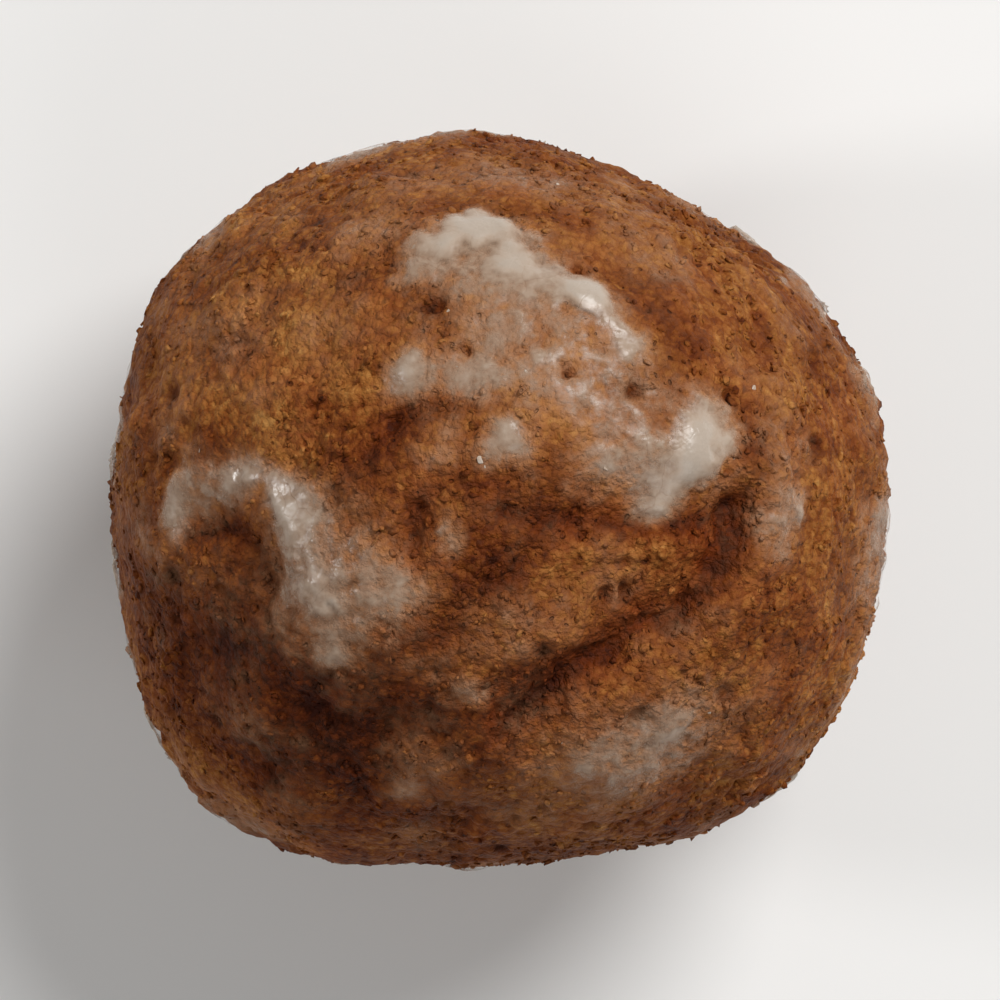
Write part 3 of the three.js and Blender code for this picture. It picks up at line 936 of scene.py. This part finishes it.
def scatterTree(name, inputs, filmGrows, filmFades, flat):
    # Strews dented bits where the film is past filmGrows and short of filmFades, each a pair of limits
    tree, add, source = newTree(name, inputs)
    film = add("GeometryNodeInputNamedAttribute", {"data_type": "FLOAT"}, {"Name": "film"})
    level = add("ShaderNodeSeparateXYZ", {}, {0: add("GeometryNodeInputPosition")}).node.outputs["Z"]
    density = source["Per Square Metre"]
    patchScale = add(mathNode, over, {0: 1.0, 1: source["Patch Size"]})
    patchy = add(noiseNode, {}, {"Scale": patchScale, "Detail": 2.0})
    limits = ((film, filmGrows), (film, filmFades), (level, looseBits["level"]),
              (patchy, looseBits["patchReach"]))
    for value, (low, high) in limits:
        share = add(rangeNode, eased, {0: value, 1: low, 2: high})
        density = add(mathNode, times, {0: density, 1: share})
    spread = add("GeometryNodeDistributePointsOnFaces", {"distribute_method": "RANDOM"},
                 {0: source["Geometry"], "Density": density, "Seed": source["Seed"]})
    bit = add("GeometryNodeMeshIcoSphere", {}, {"Radius": 1.0, "Subdivisions": 1})
    seeds = [add(mathNode, plus, {0: source["Seed"], 1: i}) for i in (1, 2, 3, 4)]
    chance = add("FunctionNodeRandomValue", {"data_type": "FLOAT"}, {"Seed": seeds[0]}, 1)
    chance = add(mathNode, {"operation": "POWER"}, {0: chance, 1: looseBits["fewLarge"]})
    size = add(rangeNode, {}, {0: chance, 3: source["Smallest"], 4: source["Largest"]})
    least, most = [(length, width, height * flat) for length, width, height in looseBits["shapes"]]
    shape = add("FunctionNodeRandomValue", {"data_type": "FLOAT_VECTOR"},
                {0: least, 1: most, "Seed": seeds[1]})
    shape = add(vectorNode, scaled, {0: shape, "Scale": size})
    lean = looseBits["lean"]
    twist = add("FunctionNodeRandomValue", {"data_type": "FLOAT_VECTOR"},
                {0: (-lean, -lean, 0.0), 1: (lean, lean, looseBits["turn"]), "Seed": seeds[2]})
    twist = add("FunctionNodeEulerToRotation", {}, {0: twist})
    turned = add("FunctionNodeRotateRotation", {"rotation_space": "LOCAL"},
                 {0: spread.node.outputs["Rotation"], 1: twist})
    lighter = add(mathNode, times, {0: source["Tone Swing"], 1: -1.0})
    swing = add("FunctionNodeRandomValue", {"data_type": "FLOAT"},
                {2: lighter, 3: source["Tone Swing"], "Seed": seeds[3]}, 1)
    # the crust's browning under each bit, with its painted shade
    tone = add("GeometryNodeInputNamedAttribute", {"data_type": "FLOAT"}, {"Name": "browning"})
    toned = add("GeometryNodeStoreNamedAttribute", {"data_type": "FLOAT", "domain": "POINT"},
                {0: spread, "Name": "browning", "Value": add(mathNode, plus, {0: tone, 1: swing})})
    placed = add("GeometryNodeInstanceOnPoints", {},
                 {"Points": toned, "Instance": bit, "Rotation": turned, "Scale": shape})
    bits = add("GeometryNodeRealizeInstances", {}, {0: placed})
    place = add("GeometryNodeInputPosition")
    dent = add(noiseNode, {}, {"Vector": place, "Scale": 1 / looseBits["dent"], "Detail": 1.0}, "Color")
    dent = add(vectorNode, minus, {0: dent, 1: (0.5, 0.5, 0.5)})
    dent = add(vectorNode, scaled, {0: dent, "Scale": looseBits["dent"]})
    closeTree(tree, add("GeometryNodeSetPosition", {}, {0: bits, "Offset": dent}), source)
    return tree


def scatterPiece(name, dough, tree, inputs, material):
    piece = bpy.data.objects.new(name, dough.data.copy())
    bpy.context.scene.collection.objects.link(piece)
    piece = runTree(piece, tree, inputs, material)
    print(f"{name}: {len(piece.data.polygons)} faces")
    return piece


# Chips of dried glaze: milky sugar, broken so that it glints a little
chippedSugar = {"shades": [(0.3, "#a58d78"), (0.7, "#c6b7a8")], "patchSize": 0.6 * mm}


def glazeChipMaterial():
    material, add, shader = newMaterial("glazeChip")
    place = add("ShaderNodeTexCoord", {}, {}, "Object")
    patch = add(noiseNode, {}, {"Vector": place, "Scale": 1 / chippedSugar["patchSize"], "Detail": 2.0})
    feedNode(shader, {
        "Base Color": add(rampNode, {"stops": chippedSugar["shades"]}, {0: patch}),
        "Roughness": 0.36,
        "IOR": 1.49,
    })
    return material


relief = crustReliefTree()
dough = makeDough(relief, friedCrustMaterial())
glaze = makeGlaze(relief, sugarGlazeMaterial())
crumbTree = scatterTree("crumbs", looseCrumbs, **crumbPlaces)
crumbs = scatterPiece("toasted_crumbs", dough, crumbTree, looseCrumbs, dough.data.materials[0])
chipTree = scatterTree("glazeChips", glazeChips, **chipPlaces)
chips = scatterPiece("glaze_flakes", dough, chipTree, glazeChips, glazeChipMaterial())
finishPiece(dough)
finishPiece(glaze)
finishPiece(crumbs)
finishPiece(chips, False)


# Studio: a pale floor, soft lamps and the photo's camera, which looks straight down on the ball

studio = {
    "floorSize": 3.0,
    "floorDrop": 0.02 * mm,  # keeps it clear of the ball's flat spot
    "floorColour": "#e9e8e6",
    "skyStrength": 0.17,
    "lamps": [
        {"name": "keySoftbox", "at": (0.32, 0.38, 0.54), "size": 0.40, "power": 5.2},
        {"name": "leftStrip", "at": (-0.46, 0.02, 0.26), "size": 0.10, "power": 0.7},
        {"name": "fillPanel", "at": (0.24, -0.44, 0.50), "size": 0.50, "power": 0.9},
    ],
    "cameraHeight": 0.7,
    "ballShare": 0.78,  # of the picture's width
}


def makeStudio():
    size = studio["floorSize"] / 2
    drop = -studio["floorDrop"]
    corners = [(-size, -size, drop), (size, -size, drop), (size, size, drop), (-size, size, drop)]
    floor = meshPiece("studio_floor", np.array(corners), np.array([[0, 1, 2, 3]]), {})
    material, add, shader = newMaterial("paleFloor")  # matt painted board
    feedNode(shader, {"Base Color": linearColour(studio["floorColour"]), "Roughness": 0.7})
    floor.data.materials.append(material)

    sky = bpy.data.worlds.new("paleRoom")
    bpy.context.scene.world = sky
    sky.use_nodes = True
    sky.node_tree.nodes["Background"].inputs[0].default_value = (1, 1, 1, 1)
    sky.node_tree.nodes["Background"].inputs[1].default_value = studio["skyStrength"]

    for lamp in studio["lamps"]:
        light = bpy.data.lights.new(lamp["name"], "AREA")
        light.shape = "DISK"
        light.size = lamp["size"]
        light.energy = lamp["power"]
        holder = bpy.data.objects.new(lamp["name"], light)
        holder.location = lamp["at"]
        holder.rotation_euler = (ballMiddle - Vector(lamp["at"])).to_track_quat("-Z", "Y").to_euler()
        bpy.context.scene.collection.objects.link(holder)

    camera = bpy.data.cameras.new("topCamera")
    holder = bpy.data.objects.new("topCamera", camera)
    holder.location = (ballMiddle.x, ballMiddle.y, studio["cameraHeight"])
    bpy.context.scene.collection.objects.link(holder)
    distance = studio["cameraHeight"] - ballMiddle.z
    frameWidth = (highCorner.x - lowCorner.x) / studio["ballShare"]
    camera.sensor_width = 36.0
    camera.lens = camera.sensor_width * distance / frameWidth
    camera.clip_start = 0.01
    bpy.context.scene.camera = holder
    bpy.context.scene.view_settings.view_transform = "Standard"
    print(f"studio: {len(studio['lamps'])} lamps, camera {distance:.2f} m over the ball")


makeStudio()
